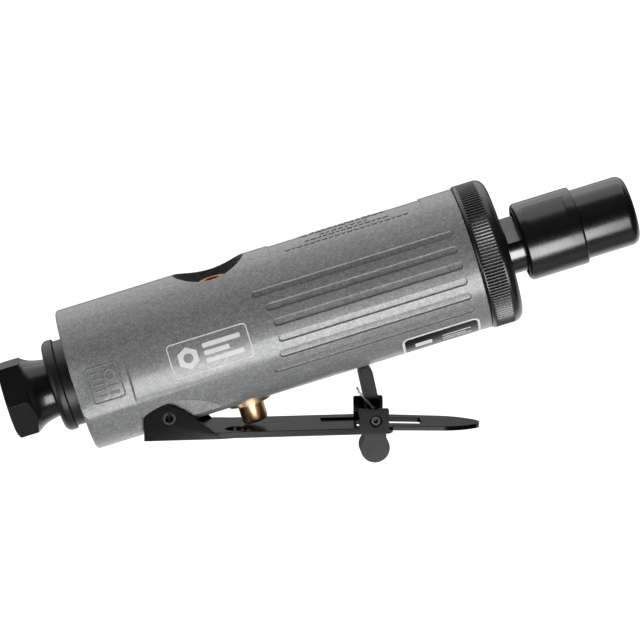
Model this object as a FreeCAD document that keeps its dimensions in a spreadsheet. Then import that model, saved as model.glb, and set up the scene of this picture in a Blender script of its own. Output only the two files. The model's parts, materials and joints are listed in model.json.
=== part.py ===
import FreeCAD, Part
import Sketcher
import math
import os

# Straight die grinder, quarter-inch collet.  Millimetres, degrees.
# Frame: origin at the centre of the collet nut's front face, +X along the
# spindle towards the nose, +Z up, throttle lever on the -Z side.
V = FreeCAD.Vector
doc = FreeCAD.newDocument("die_grinder")
sheet = doc.addObject("Spreadsheet::Sheet", "dims")

SIZES = [
    # stations along the spindle axis
    ("nut_step", -14.7), ("nut_rear", -30.9), ("ring_front", -35.7), ("barrel_front", -44.6),
    ("barrel_rear", -153.7), ("deflector_step", -157.0), ("deflector_rear", -160.0),
    ("hex_front", -166.9), ("tail_end", -172.5), ("stack_front", -52.5), ("stack_rear", -100.5),
    ("cylinder_front", -62.5), ("cylinder_rear", -91.5), ("valve_axis", -111.6),
    # radii and widths
    ("barrel_radius", 19.05), ("ring_radius", 19.5), ("ring_face_radius", 16.7), ("nut_nose_radius", 9.4),
    ("nut_radius", 10.5), ("nut_flats", 18.9), ("neck_radius", 7.55), ("neck_flats", 11.1),
    ("nose_thread_radius", 7.0), ("shank_radius", 3.175), ("bore_radius", 16.0), ("stack_radius", 15.95),
    ("ring_thread_radius", 16.3), ("cylinder_bore", 13.0), ("cylinder_offset", 1.3), ("rotor_radius", 11.5),
    ("front_journal", 6.0), ("rear_journal", 4.0), ("inlet_thread_radius", 6.9), ("inlet_bore_radius", 5.56),
    ("hex_flats", 19.0), ("waist_radius", 7.86), ("deflector_radius", 12.3), ("deflector_seat", 11.6),
    # bearings
    ("front_ball", 2.38), ("front_pitch", 10.0), ("front_x", -56.5), ("front_groove", 2.45),
    ("rear_ball", 1.98), ("rear_pitch", 7.5), ("rear_x", -97.0), ("rear_groove", 2.05),
    # throttle valve and regulator
    ("button_radius", 3.465), ("button_low", -24.7), ("button_top", -10.5), ("bushing_bore", 3.5),
    ("bushing_radius", 5.0), ("flange_radius", 5.8), ("flange_low", -19.3), ("pocket_radius", 9.7),
    ("pocket_floor", 12.0), ("regulator_top", 15.3), ("regulator_head", 3.6), ("regulator_body", 4.53),
    ("chamber_radius", 4.6), ("stem_radius", 1.1), ("exhaust_circle", 9.4), ("exhaust_hole", 1.4),
    # lever, in the lever's own frame with its origin on the pivot
    ("pivot_x", -133.0), ("pivot_z", -15.4), ("lever_slope", 15.9), ("plate_low", -5.75), ("plate_thick", 1.7),
    ("ear_inner", 9.6), ("ear_thick", 1.2), ("lug_half", 9.45), ("scallop_radius", 16.1),
    ("scallop_x", -131.5), ("scallop_z", -26.4), ("pin_radius", 1.7), ("pin_bore", 1.05),
    ("catch_x", 54.3), ("catch_z", -2.25), ("catch_pin_radius", 1.22), ("catch_half", 3.25),
    ("tab_outer", 10.0), ("tab_thick", 1.2), ("slot_half", 3.95), ("slot_end", 67.2), ("arm_half", 1.8),
    ("paddle_radius", 3.92), ("arm_lean", 4.5), ("tongue_thick", 1.2),
    ("bend_x", 58.9), ("tongue_bend", 2.6),
    # grooves and panels
    ("groove_depth", 0.45), ("groove_half", 1.0), ("groove_step", 13.1), ("groove_front", -48.4), ("groove_rear", -99.5),
    ("pad_plane", 17.54), ("pad_front", -139.6), ("panel_front", -53.3), ("panel_rear", -95.2),
    ("panel_depth", 0.3), ("panel_half", 8.3),
]


class Q:
    """A number together with the sheet expression that gives it."""
    def __init__(self, v, e):
        self.v, self.e = float(v), e

    def __add__(self, o):
        o = q(o)
        return Q(self.v + o.v, "(%s + %s)" % (self.e, o.e))
    __radd__ = __add__

    def __sub__(self, o):
        o = q(o)
        return Q(self.v - o.v, "(%s - %s)" % (self.e, o.e))

    def __rsub__(self, o):
        return q(o) - self

    def __mul__(self, o):
        o = q(o)
        return Q(self.v * o.v, "(%s * %s)" % (self.e, o.e))
    __rmul__ = __mul__

    def __neg__(self):
        return Q(-self.v, "(0 - %s)" % self.e)


def q(n):
    return n if isinstance(n, Q) else Q(n, "%.6f" % n if n >= 0 else "(0 - %.6f)" % -n)


D = {}
for row, (alias, value) in enumerate(SIZES, start=1):
    sheet.set("A%d" % row, alias)
    sheet.set("B%d" % row, "%g" % value)
    sheet.setAlias("B%d" % row, alias)
    D[alias] = Q(value, "dims." + alias)
doc.recompute()


class Dims:
    def __getattr__(self, name):
        return D[name]


d = Dims()
NODES = []
count = [0]


def uid(stem):
    count[0] += 1
    return "%s_%03d" % (stem, count[0])


def bind(obj, prop, value):
    value = q(value)
    obj.setExpression(prop, value.e)


def place(obj, pos=(0, 0, 0), rot=None):
    pos = [q(p) for p in pos]
    obj.Placement = FreeCAD.Placement(V(pos[0].v, pos[1].v, pos[2].v), rot if rot else FreeCAD.Rotation())
    for axis, p in zip("xyz", pos):
        if "dims." in p.e:
            obj.setExpression("Placement.Base." + axis, p.e)
    return obj


ALONG = {
    "z": FreeCAD.Rotation(),
    "x": FreeCAD.Rotation(V(0, 1, 0), 90),
    "y": FreeCAD.Rotation(V(1, 0, 0), -90),
}


def cyl(radius, length, pos, along="z", rot=None):
    o = doc.addObject("Part::Cylinder", uid("cyl"))
    o.Radius, o.Height = q(radius).v, q(length).v
    bind(o, "Radius", radius)
    bind(o, "Height", length)
    return place(o, pos, rot if rot else ALONG[along])


def cone(r1, r2, length, pos, along="z"):
    o = doc.addObject("Part::Cone", uid("cone"))
    bind(o, "Radius1", r1)
    bind(o, "Radius2", r2)
    bind(o, "Height", length)
    return place(o, pos, ALONG[along])


def box(size, pos, rot=None):
    o = doc.addObject("Part::Box", uid("box"))
    for prop, s in zip(("Length", "Width", "Height"), size):
        bind(o, prop, s)
    return place(o, pos, rot)


def ball(radius, pos):
    o = doc.addObject("Part::Sphere", uid("ball"))
    bind(o, "Radius", radius)
    return place(o, pos)


def torus(r1, r2, pos, along="x"):
    o = doc.addObject("Part::Torus", uid("torus"))
    bind(o, "Radius1", r1)
    bind(o, "Radius2", r2)
    return place(o, pos, ALONG[along])


def fuse(*shapes):
    if len(shapes) == 1:
        return shapes[0]
    o = doc.addObject("Part::MultiFuse", uid("fuse"))
    o.Shapes = list(shapes)
    return o


def cut(base, *tools):
    o = doc.addObject("Part::Cut", uid("cut"))
    o.Base = base
    o.Tool = fuse(*tools)
    return o


def common(base, tool):
    o = doc.addObject("Part::Common", uid("common"))
    o.Base, o.Tool = base, tool
    return o


def plane(body, role):
    for f in body.Origin.OriginFeatures:
        if f.Role == role:
            return f


def outline(body, pts, role="XY_Plane", lift=0.0, flip=False):
    """Closed sketch through pts; a point may carry a third value, the bulge
    point of the arc that leads to the next point."""
    sk = body.newObject("Sketcher::SketchObject", uid("outline"))
    sk.AttachmentSupport = [(plane(body, role), "")]
    sk.MapMode = "FlatFace"
    lift = q(lift)
    sk.AttachmentOffset = FreeCAD.Placement(V(0, 0, lift.v), FreeCAD.Rotation())
    if "dims." in lift.e:
        sk.setExpression("AttachmentOffset.Base.z", lift.e)
    n = len(pts)
    P = [V(q(p[0]).v, q(p[1]).v, 0) for p in pts]
    ends = []
    for i in range(n):
        a, b = P[i], P[(i + 1) % n]
        if len(pts[i]) > 2:
            m = V(pts[i][2][0], pts[i][2][1], 0)
            left = (m - a).cross(b - m).z > 0
            g = sk.addGeometry(Part.Arc(a, m, b) if left else Part.Arc(b, m, a), False)
            e = sk.Geometry[g]
            first = 1 if left else 2
            ends.append((g, first, 3 - first))
            kind = "DistanceX" if abs(b.y - a.y) > abs(b.x - a.x) else "DistanceY"
            c = e.Center
            sk.addConstraint(Sketcher.Constraint(kind, -1, 1, g, 3, c.x if kind == "DistanceX" else c.y))
        else:
            g = sk.addGeometry(Part.LineSegment(a, b), False)
            ends.append((g, 1, 2))
    for i in range(n):
        g, s0, s1 = ends[i]
        h, t0, t1 = ends[(i + 1) % n]
        sk.addConstraint(Sketcher.Constraint("Coincident", g, s1, h, t0))
    for i in range(n):
        g, s0, s1 = ends[i]
        for kind, value in (("DistanceX", q(pts[i][0])), ("DistanceY", q(pts[i][1]))):
            c = sk.addConstraint(Sketcher.Constraint(kind, -1, 1, g, s0, value.v))
            if "dims." in value.e:
                sk.setExpression("Constraints[%d]" % c, value.e)
    return sk


def rounds(body, circles, role="XY_Plane", lift=0.0):
    """Sketch of full circles, each (x, y, radius)."""
    sk = body.newObject("Sketcher::SketchObject", uid("rounds"))
    sk.AttachmentSupport = [(plane(body, role), "")]
    sk.MapMode = "FlatFace"
    lift = q(lift)
    sk.AttachmentOffset = FreeCAD.Placement(V(0, 0, lift.v), FreeCAD.Rotation())
    if "dims." in lift.e:
        sk.setExpression("AttachmentOffset.Base.z", lift.e)
    for x, y, r in circles:
        x, y, r = q(x), q(y), q(r)
        g = sk.addGeometry(Part.Circle(V(x.v, y.v, 0), V(0, 0, 1), r.v), False)
        c = sk.addConstraint(Sketcher.Constraint("Radius", g, r.v))
        if "dims." in r.e:
            sk.setExpression("Constraints[%d]" % c, r.e)
        for kind, value in (("DistanceX", x), ("DistanceY", y)):
            c = sk.addConstraint(Sketcher.Constraint(kind, -1, 1, g, 3, value.v))
            if "dims." in value.e:
                sk.setExpression("Constraints[%d]" % c, value.e)
    return sk


def turned(name, pts):
    """Body turned about the X axis from an outline of (x, radius) points."""
    body = doc.addObject("PartDesign::Body", uid(name))
    sk = outline(body, pts)
    rev = body.newObject("PartDesign::Revolution", uid("turn"))
    rev.Profile = sk
    rev.ReferenceAxis = (sk, ["H_Axis"])
    rev.Angle = 360
    body.Tip = rev
    doc.recompute()
    return body


def pad(body, sk, length, reverse=False, both=False):
    p = body.newObject("PartDesign::Pad", uid("pad"))
    p.Profile = sk
    p.Length = q(length).v
    bind(p, "Length", length)
    p.Reversed = reverse
    if both:
        p.SideType = "Symmetric"
    body.Tip = p
    doc.recompute()
    return p


def pocket(body, sk, length, reverse=False, both=False, through=False):
    before = body.Shape.Volume
    p = body.newObject("PartDesign::Pocket", uid("pocket"))
    p.Profile = sk
    if through:
        p.Type = "ThroughAll"
    else:
        p.Length = q(length).v
        bind(p, "Length", length)
    p.Reversed = reverse
    if both:
        p.SideType = "Symmetric"
    body.Tip = p
    doc.recompute()
    assert body.Shape.Volume < before - 1e-6, "pocket cut nothing in " + body.Name
    return p


def round_edges(body, test, radius, chamfer=False):
    """Fillet (or chamfer) those edges of the body's tip that pass the test."""
    tip = body.Tip
    names = ["Edge%d" % (i + 1) for i, e in enumerate(tip.Shape.Edges) if test(e)]
    assert names, "no edge to round in " + body.Name
    f = body.newObject("PartDesign::Chamfer" if chamfer else "PartDesign::Fillet", uid("edge"))
    f.Base = (tip, names)
    if chamfer:
        f.Size = radius
    else:
        f.Radius = radius
    body.Tip = f
    doc.recompute()
    return f


def ring_edge(x, r):
    x, r = q(x).v, q(r).v

    def test(e):
        c = e.Curve
        return (isinstance(c, Part.Circle) and abs(c.Radius - r) < 1e-3
                and abs(e.CenterOfMass.x - x) < 1e-3 and abs(abs(c.Axis.x) - 1) < 1e-6)
    return test


def edge_at(x=None, y=None, z=None, tol=0.02, kind=None):
    def test(e):
        b = e.BoundBox
        for want, lo, hi in ((x, b.XMin, b.XMax), (y, b.YMin, b.YMax), (z, b.ZMin, b.ZMax)):
            if want is not None and (abs(lo - want) > tol or abs(hi - want) > tol):
                return False
        return True
    return test


def node(obj, name):
    obj.Label = name
    NODES.append(obj)
    return obj


def spun(x, r, angle):
    return (x, -r * math.cos(math.radians(angle)), r * math.sin(math.radians(angle)))


# ---------------------------------------------------------------- housing
# Turned barrel: threaded mouth, motor bore, threaded air inlet at the tail.
barrel = turned("barrel", [
    (d.barrel_front, d.bore_radius + 0.4), (d.barrel_front, d.barrel_radius), (d.barrel_rear, d.barrel_radius),
    (d.barrel_rear, d.inlet_thread_radius + 0.05), (-140.6, d.inlet_thread_radius + 0.05), (-140.6, 4.0),
    (-114.0, 4.0), (-114.0, 0.0), (d.stack_rear - 0.1, 0.0), (d.stack_rear - 0.1, d.bore_radius),
    (-52.8, d.bore_radius), (-52.8, d.bore_radius + 0.4)])
round_edges(barrel, ring_edge(d.barrel_rear, d.barrel_radius), 0.9)
tools = [
    # cross bore for the throttle valve, from below, and the regulator, from above
    cyl(d.bushing_radius + 0.03, 20.0, (d.valve_axis, 0, -24.0)),
    cyl(d.flange_radius + 0.05, 6.7, (d.valve_axis, 0, -24.0)),
    cyl(d.chamber_radius, 17.5, (d.valve_axis, 0, -5.0)),
    cyl(d.pocket_radius, 12.0, (d.valve_axis, 0, d.pocket_floor)),
    # air way from the valve forward to the motor
    cyl(1.5, 8.6, (-108.0, 0, -5.5), "x"),
    # seal groove round the mouth of the inlet thread
    cyl(7.9, 1.4, (-153.8, 0, 0), "x"),
    # lever pin hole through the lug
    cyl(d.pin_radius + 0.01, 40.0, (d.pivot_x, -20.0, d.pivot_z), "y"),
    # shallow scoop under the barrel that the lock-off arm sweeps through
    cyl(20.0, 7.8, (-86.6, -3.9, -36.85), "y"),
]
for sgn in (-1, 1):
    # scallops that clear the lever's ears and leave the central lug
    tools.append(cyl(d.scallop_radius, 12.0, (d.scallop_x, d.lug_half if sgn > 0 else -d.lug_half - 12.0, d.scallop_z), "y"))
    for ang in (-35, 0, 35):
        x, y, z = spun(0, 9.4, ang)
        tools.append(cyl(d.exhaust_hole, 54.0, (-154.0, -sgn * y, z), "x"))
housing = barrel
for tool in tools:
    housing = cut(housing, tool)
# shallow label panel along the top
panel = cut(box((d.panel_front - d.panel_rear, d.panel_half * 2, 6.0), (d.panel_rear, -d.panel_half, 14.5)),
            cyl(d.barrel_radius - d.panel_depth, 60.0, (-105.0, 0, 0), "x"))
housing = cut(housing, panel)
# milled flats either side of the tail, with a sloping front wall
for sgn in (-1, 1):
    flat = doc.addObject("PartDesign::Body", uid("flat"))
    pts = [(-160.3, d.pad_plane), (d.pad_front, d.pad_plane), (-138.85, 19.2), (-136.7, 24.0), (-160.3, 24.0)]
    sk = outline(flat, [(x, q(y) * sgn) for x, y in pts], lift=-15.0)
    pad(flat, sk, 30.0)
    housing = cut(housing, flat)
# finger grooves, six a side, round ended, with a soft corner at the bottom
for side in (-1, 1):
    for k in range(6):
        ang = (k - 2.5) * d.groove_step.v
        rear = {0: -102.9, 5: -102.9, 1: -100.4, 4: -100.4}.get(k, d.groove_rear.v)
        body = doc.addObject("PartDesign::Body", uid("groove"))
        hw = d.groove_half
        sk = outline(body, [
            (d.groove_front - hw, -hw, (d.groove_front.v, 0.0)), (d.groove_front - hw, hw),
            (rear + hw, hw, (rear, 0.0)), (rear + hw, -hw)])
        pad(body, sk, 2.4)
        round_edges(body, edge_at(z=0.0), 0.25)
        tilt = (90 - ang) if side < 0 else -(90 - ang)
        rot = FreeCAD.Rotation(V(1, 0, 0), tilt)
        off = rot.multVec(V(0, 0, d.barrel_radius.v - d.groove_depth.v))
        place(body, (0, off.y, off.z), rot)
        housing = cut(housing, body)
node(housing, "barrel_housing")

# Front clamp ring: knurled flange outside, threaded skirt inside the barrel.
ring = turned("clamp_ring", [
    (d.ring_front, d.neck_radius + 0.45), (d.ring_front, d.ring_radius), (-43.9, d.ring_radius),
    (d.barrel_front, d.ring_radius - 0.7), (d.barrel_front, d.ring_thread_radius),
    (d.stack_front, d.ring_thread_radius), (d.stack_front, 10.6), (-47.0, 10.6), (-47.0, d.neck_radius + 0.45)])
round_edges(ring, ring_edge(d.ring_front, d.ring_radius), 2.6)
node(ring, "front_clamp_ring")

node(turned("seal", [(-47.15, d.neck_radius + 0.07), (-47.15, 10.55), (-50.5, 10.55), (-50.5, 9.6),
                     (-48.4, 8.6), (-49.6, d.neck_radius + 0.07)]), "spindle_dust_seal")

# ---------------------------------------------------------------- bearings


def bearing(prefix, x, width, r_in, r_land_in, r_land_out, r_out, ball_r, pitch, groove, n, cage_in, cage_out, cage_w):
    outer = turned(prefix + "_outer", [(x + width / 2 - 0.0, r_land_out), (x + width / 2, r_out),
                                       (x - width / 2, r_out), (x - width / 2, r_land_out)])
    node(cut(outer, torus(pitch, groove, (x, 0, 0))), prefix + "_bearing_outer_ring")
    inner = turned(prefix + "_inner", [(x + width / 2, r_in), (x + width / 2, r_land_in),
                                       (x - width / 2, r_land_in), (x - width / 2, r_in)])
    node(cut(inner, torus(pitch, groove, (x, 0, 0))), prefix + "_bearing_inner_ring")
    pos = [spun(x, pitch.v, 360.0 * i / n) for i in range(n)]
    node(fuse(*[ball(ball_r, p) for p in pos]), prefix + "_bearing_balls")
    cage = turned(prefix + "_cage", [(x + cage_w / 2, cage_in), (x + cage_w / 2, cage_out),
                                     (x - cage_w / 2, cage_out), (x - cage_w / 2, cage_in)])
    windows = [cyl(ball_r + 0.1, 5.0, (x, p[1] * 0.78, p[2] * 0.78), rot=FreeCAD.Rotation(V(0, 0, 1), V(0, p[1], p[2])))
               for p in pos]
    node(cut(cage, *windows), prefix + "_bearing_cage")


bearing("front", d.front_x, 7.94, d.front_journal + 0.01, 7.9, 12.2, 13.97, d.front_ball, d.front_pitch,
        d.front_groove, 9, 9.3, 10.7, 5.7)
bearing("rear", d.rear_x, 6.94, d.rear_journal + 0.01, 6.2, 8.8, 10.98, d.rear_ball, d.rear_pitch,
        d.rear_groove, 7, 6.9, 8.1, 4.8)

# ---------------------------------------------------------------- motor
front_plate = turned("front_plate", [
    (d.stack_front, 14.0), (d.stack_front, d.stack_radius), (d.cylinder_front, d.stack_radius),
    (d.cylinder_front, 8.7), (-60.52, 8.7), (-60.52, 14.0)])
pin_top = cyl(0.95, 31.8, (-92.9, 0, 14.3), "x")
node(cut(front_plate, cyl(0.95, 1.7, (-62.9, 0, 14.3), "x")), "front_end_plate")
rear_plate = turned("rear_plate", [
    (d.cylinder_rear, 5.7), (d.cylinder_rear, d.stack_radius), (d.stack_rear, d.stack_radius),
    (d.stack_rear, 11.0), (-93.5, 11.0), (-93.5, 5.7)])
node(cut(rear_plate, pin_top, cyl(1.5, 12.0, (-102.0, -13.3, -2.0), "x"), cyl(1.5, 12.0, (-102.0, 13.3, 2.0), "x")),
     "rear_end_plate")
cyl_len = d.cylinder_front - d.cylinder_rear
motor = cut(cyl(d.stack_radius, cyl_len, (d.cylinder_rear, 0, 0), "x"),
            cyl(d.cylinder_bore, cyl_len + 2.0, (d.cylinder_rear - 1.0, 0, -d.cylinder_offset), "x"),
            cyl(0.95, 40.0, (-97.0, 0, 14.3), "x"),
            box((24.0, 3.0, 14.0), (-89.0, 14.7, -7.0)),
            *[cyl(1.5, 6.0, (-70.0 - 4.5 * i, 11.0, 0), "y") for i in range(4)])
node(motor, "motor_cylinder")
node(cyl(0.92, 31.0, (-92.4, 0, 14.3), "x"), "motor_dowel_pin")

# Spindle and rotor are one turned bar: nose thread, neck, journals, rotor core.
spindle = turned("spindle", [
    (-13.0, 6.3), (-13.0, 6.6), (-13.6, d.nose_thread_radius), (-27.2, d.nose_thread_radius), (-27.2, 6.4),
    (-29.0, 6.4), (-29.0, d.neck_radius), (d.stack_front, d.neck_radius), (d.stack_front, d.front_journal),
    (d.cylinder_front - 0.2, d.front_journal), (d.cylinder_front - 0.2, d.rotor_radius),
    (d.cylinder_rear + 0.2, d.rotor_radius), (d.cylinder_rear + 0.2, 5.3), (-93.5, 5.3), (-93.5, d.rear_journal),
    (-100.2, d.rear_journal), (-100.2, 1.2), (-97.0, 0.0), (-31.0, 0.0), (-31.0, 5.0), (-17.0, 5.0)])
flats = []
slots = []
vanes = []
for k in range(2):
    rot = FreeCAD.Rotation(V(1, 0, 0), 90 - 57 + 180 * k)
    off = rot.multVec(V(0, 0, 5.55))
    b = doc.addObject("Part::Box", uid("flat"))
    bind(b, "Length", 5.7)
    b.Width, b.Height = 20, 5
    place(b, (-34.6, 0, 0), rot)
    w = rot.multVec(V(0, -10, 5.55))
    b.Placement = FreeCAD.Placement(V(-34.6, w.y, w.z), rot)
    flats.append(b)
for k in range(5):
    rot = FreeCAD.Rotation(V(1, 0, 0), 72 * k + 20)
    w = rot.multVec(V(0, -0.8, 4.9))
    b = box((28.6, 1.6, 8.0), (-91.3, 0, 0))
    b.Placement = FreeCAD.Placement(V(-91.3, w.y, w.z), rot)
    slots.append(b)
    w = rot.multVec(V(0, -0.74, 5.0))
    b = box((28.3, 1.48, 6.45), (-91.15, 0, 0))
    b.Placement = FreeCAD.Placement(V(-91.15, w.y, w.z), rot)
    vanes.append(b)
node(cut(spindle, *(flats + slots)), "spindle_rotor")
node(fuse(*vanes), "rotor_vanes")
node(turned("spacer", [(-60.52, d.front_journal + 0.01), (-60.52, 8.3), (d.cylinder_front - 0.2, 8.3),
                       (d.cylinder_front - 0.2, d.front_journal + 0.01)]), "rotor_spacer")

# ---------------------------------------------------------------- collet
collet = turned("collet", [
    (0.0, d.shank_radius), (0.0, 4.4), (-2.6, 4.4), (-6.6, 6.1), (-12.9, 6.1), (-16.95, 4.85), (-29.5, 4.85),
    (-29.5, d.shank_radius)])
slits = []
for k in range(2):
    b = box((22.6, 0.7, 16.0), (-23.0, 0, 0))
    rot = FreeCAD.Rotation(V(1, 0, 0), 90 * k + 45)
    w = rot.multVec(V(0, -0.35, -8.0))
    b.Placement = FreeCAD.Placement(V(-23.0, w.y, w.z), rot)
    slits.append(b)
node(cut(collet, *slits), "collet")

nut = turned("nut", [
    (0.0, 4.6), (0.0, d.nut_nose_radius), (d.nut_step, d.nut_nose_radius), (d.nut_step, d.nut_radius),
    (d.nut_rear, d.nut_radius), (d.nut_rear, 8.7), (-27.6, 8.7), (-27.6, 7.12), (-12.2, 7.12), (-12.2, 6.35),
    (-6.6, 6.35), (-2.3, 4.6)])
round_edges(nut, ring_edge(0.0, d.nut_nose_radius), 2.4)
round_edges(nut, ring_edge(d.nut_step, d.nut_radius), 0.6)
round_edges(nut, ring_edge(d.nut_rear, d.nut_radius), 1.2)
flats = []
for k in range(2):
    rot = FreeCAD.Rotation(V(1, 0, 0), 90 - 38.5 + 180 * k)
    w = rot.multVec(V(0, -12, 9.45))
    b = box((11.0, 24.0, 5.0), (-28.4, 0, 0))
    b.Placement = FreeCAD.Placement(V(-28.4, w.y, w.z), rot)
    flats.append(b)
node(cut(nut, *flats), "collet_nut")

# ---------------------------------------------------------------- throttle valve
vx = d.valve_axis
bushing = cut(fuse(cyl(d.bushing_radius, 15.3, (vx, 0, d.flange_low)), cyl(d.flange_radius, 2.0, (vx, 0, d.flange_low))),
              cyl(d.bushing_bore, 12.3, (vx, 0, d.flange_low)), cyl(2.0, 16.0, (vx, 0, d.flange_low)),
              cyl(1.2, 12.0, (vx - 6.0, 0, -5.6), "x"),
              cut(cyl(5.4, 1.4, (vx, 0, -15.2)), cyl(4.2, 1.4, (vx, 0, -15.2))))
node(bushing, "throttle_bushing")
node(torus(4.62, 0.38, (vx, 0, -14.5), "z"), "throttle_bushing_o_ring")
button = doc.addObject("PartDesign::Body", uid("button"))
sk = outline(button, [
    (0.0, d.button_low), (2.7, d.button_low), (3.2, d.button_low + 0.25), (d.button_radius, d.button_low + 0.8),
    (d.button_radius, -14.8), (2.5, -14.8), (2.5, -13.4), (d.button_radius, -13.4), (d.button_radius, d.button_top - 0.4),
    (3.0, d.button_top), (d.stem_radius, d.button_top), (d.stem_radius, -2.9), (2.9, -2.9), (2.9, -1.9), (1.4, -1.7),
    (1.4, -0.6), (0.0, -0.6)], role="XZ_Plane")
rev = button.newObject("PartDesign::Revolution", uid("turn"))
rev.Profile = sk
rev.ReferenceAxis = (sk, ["V_Axis"])
rev.Angle = 360
button.Tip = rev
place(button, (vx, 0, 0))
node(button, "throttle_button")
node(torus(2.96, 0.45, (vx, 0, -14.1), "z"), "throttle_button_o_ring")
node(cut(cyl(3.1, 1.02, (vx, 0, -3.95)), cyl(d.stem_radius + 0.01, 2.0, (vx, 0, -4.4))), "throttle_valve_seal")

# Closing coil spring above the valve head.
coil = Part.makeHelix(1.35, 7.9, 2.15)
coil_wire = Part.Wire(coil.Edges)
section = Part.Wire([Part.Circle(V(2.15, 0, 0), V(0, 1, 0), 0.26).toShape()])
spring_shape = coil_wire.makePipeShell([section], True, True)
spring = doc.addObject("Part::Feature", "throttle_spring_coil")
spring.Shape = spring_shape
spring.Placement = FreeCAD.Placement(V(vx.v, 0, -1.4), FreeCAD.Rotation())
node(spring, "throttle_spring")

# Regulator: slotted rotary plug whose skirt closes off the inlet passage.
reg = cut(fuse(cyl(d.regulator_head, d.regulator_top - 7.0, (vx, 0, 7.0)),
               cyl(d.regulator_body, d.pocket_floor - 7.05, (vx, 0, 7.0)),
               cut(cyl(d.regulator_body, 9.6, (vx, 0, -2.6)), cyl(3.4, 9.6, (vx, 0, -2.6)))),
          cyl(2.0, 3.0, (vx, 0, d.regulator_top - 2.2)),
          cyl(2.6, 12.0, (vx - 12.0, 0, 0.6), "x"),
          cut(cyl(5.0, 1.3, (vx, 0, 8.9)), cyl(3.6, 1.3, (vx, 0, 8.9))))
node(reg, "air_regulator")
node(torus(4.07, 0.43, (vx, 0, 9.55), "z"), "regulator_o_ring")
node(cut(cyl(6.6, 0.9, (vx, 0, d.pocket_floor)), cyl(d.regulator_head + 0.08, 2.0, (vx, 0, d.pocket_floor - 0.5)),
         box((4.0, 1.6, 2.0), (vx + 4.0, -0.8, d.pocket_floor - 0.5))), "regulator_retaining_ring")

# ---------------------------------------------------------------- air inlet and exhaust
inlet = turned("inlet", [
    (d.tail_end, d.inlet_bore_radius + 0.9), (d.tail_end, 10.97), (d.hex_front, 10.97), (-166.3, 9.9), (-165.4, 9.25),
    (-164.2, 8.65), (-162.7, 8.2), (-160.9, d.waist_radius), (-155.25, d.waist_radius),
    (-155.25, d.inlet_thread_radius), (-140.8, d.inlet_thread_radius), (-140.8, 4.0), (-158.0, 4.0),
    (-158.0, 5.3), (-158.6, 5.3), (-158.6, d.inlet_bore_radius), (-171.6, d.inlet_bore_radius)])
hexa = doc.addObject("Part::Prism", uid("hex"))
hexa.Polygon = 6
hexa.Circumradius = d.hex_flats.v / math.sqrt(3.0)
hexa.setExpression("Circumradius", "dims.hex_flats / sqrt(3)")
hexa.Height = 12.0
# corners at the sides, flats above and below
hexa.Placement = FreeCAD.Placement(V(-173.0, 0, 0), FreeCAD.Rotation(V(1, 0, 0), 90).multiply(FreeCAD.Rotation(V(0, 1, 0), 90)))
waist_keep = cyl(12.0, 30.0, (-165.9, 0, 0), "x")
hex_cut = common(inlet, fuse(hexa, waist_keep))
# heavy chamfer on the tail end of the hex
node(common(hex_cut, fuse(cone(9.6, 33.6, 14.0, (d.tail_end, 0, 0), "x"), cyl(12.5, 20.0, (-160.0, 0, 0), "x"))),
     "inlet_bushing")
screen = cut(cyl(5.28, 0.5, (-158.55, 0, 0), "x"),
             *[cyl(0.45, 2.0, (-159.2, (i - 3) * 1.35 + (0.675 if j % 2 else 0), (j - 3) * 1.17), "x")
               for i in range(7) for j in range(7)
               if math.hypot((i - 3) * 1.35 + (0.675 if j % 2 else 0), (j - 3) * 1.17) < 4.5])
node(screen, "inlet_screen")
node(torus(7.42, 0.44, (-153.0, 0, 0)), "inlet_seal_ring")

deflector = turned("deflector", [
    (d.barrel_rear, 7.95), (d.barrel_rear, d.deflector_seat), (-156.7, d.deflector_seat), (-157.0, d.deflector_radius),
    (-158.2, d.deflector_radius, (-159.473, 11.773)), (d.deflector_rear, 10.5), (d.deflector_rear, 9.2), (-159.0, 9.2), (-159.0, 10.7), (-155.2, 10.7),
    (-155.2, 7.0), (-154.6, 7.0), (-154.6, 7.95)])
holes = []
for k in (-35, 0, 35, 145, 180, 215):
    x, y, z = spun(-156.0, 9.35, k)
    holes.append(cyl(1.15, 4.0, (x, y, z), "x"))
node(cut(deflector, *holes), "exhaust_deflector")
node(turned("muffler", [(-155.3, 8.0), (-155.3, 10.6), (-158.9, 10.6), (-158.9, 8.0)]), "muffler_ring")

# ---------------------------------------------------------------- throttle lever
# Slotted spring pin pressed through the lug.
pin = cut(cyl(d.pin_radius, 21.2, (d.pivot_x, -10.6, d.pivot_z), "y"),
          cyl(d.pin_bore, 24.0, (d.pivot_x, -12.0, d.pivot_z), "y"),
          box((0.6, 24.0, 3.0), (d.pivot_x + 0.1, -12.0, d.pivot_z)))
node(pin, "lever_pivot_pin")

lever = doc.addObject("PartDesign::Body", uid("lever"))
low = d.plate_low
plate = outline(lever, [
    (1.0, -10.8), (13.4, -10.8), (17.0, -10.0), (57.8, -10.0), (58.9, -8.2), (58.9, 8.2), (57.8, 10.0),
    (17.0, 10.0), (13.4, 10.8), (1.0, 10.8)], lift=low)
pad(lever, plate, d.plate_thick)
ear = outline(lever, [
    (-6.7, low), (-6.7, -0.8, (-5.6, 1.9)), (-3.2, 3.3), (-0.8, 3.9), (1.9, 3.0), (4.0, 2.0), (6.0, 0.7), (7.8, -0.9),
    (10.6, -2.95), (12.9, -5.1), (13.3, low)], role="XZ_Plane", lift=d.ear_inner)
pad(lever, ear, d.ear_thick)
tab = outline(lever, [
    (49.9, low), (49.9, 0.65), (50.2, 0.95), (57.5, 0.95), (57.8, 0.65), (57.8, low)], role="XZ_Plane",
    lift=d.tab_outer - d.tab_thick)
pad(lever, tab, d.tab_thick)
both = lever.newObject("PartDesign::Mirrored", uid("mirror"))
both.Originals = [f for f in lever.Group if f.TypeId == "PartDesign::Pad"][1:]
both.MirrorPlane = (plane(lever, "XZ_Plane"), [""])
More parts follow.
